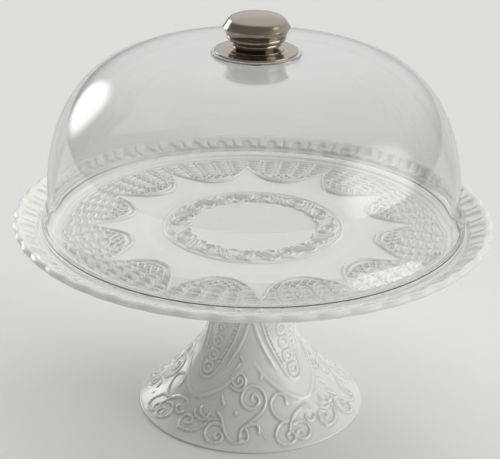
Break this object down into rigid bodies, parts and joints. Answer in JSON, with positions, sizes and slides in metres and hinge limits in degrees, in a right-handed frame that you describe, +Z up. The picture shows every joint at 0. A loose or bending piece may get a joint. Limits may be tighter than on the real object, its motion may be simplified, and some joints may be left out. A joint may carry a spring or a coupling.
{
  "type": "cake stand with dome",
  "caption": "Round white glazed ceramic pedestal cake stand with a scalloped embossed rim, a lift-off clear glass dome and a stepped metal knob.",
  "frame": {"origin": "centre of the foot ring, on the table", "axes": "+Z up along the pedestal and the knob; the stand repeats round Z; +X is to the right of someone facing -Y side"},
  "size_m": [0.3048, 0.3048, 0.2644],
  "materials": {
    "glazed_white": "gloss",
    "clear_glass": "polished",
    "clear_vinyl": "satin",
    "polished_nickel": "polished",
    "plain_steel": "satin",
    "black_filler": "matte",
    "brass_insert": "satin"
  },
  "bodies": {
    "stand": {"pedestal": "glazed_white", "plate": "glazed_white"},
    "dome": {"dome_glass": "clear_glass", "gasket_outer": "clear_vinyl", "gasket_inner": "clear_vinyl"},
    "knob": {"flange": "polished_nickel", "knob_lower": "polished_nickel", "knob_cap": "polished_nickel", "knob_core": "black_filler", "knob_insert": "brass_insert", "screw": "plain_steel", "lock_washer": "plain_steel", "washer_inner": "plain_steel"}
  },
  "joints": [
    {"name": "dome_lift", "type": "slide", "parent": "stand", "child": "dome", "axis": [0, 0, 1], "range_m": [0, 0.2]},
    {"name": "knob_turn", "type": "hinge", "parent": "dome", "child": "knob", "pos_m": [0, 0, 0.2392], "axis": [0, 0, 1], "continuous": true}
  ]
}
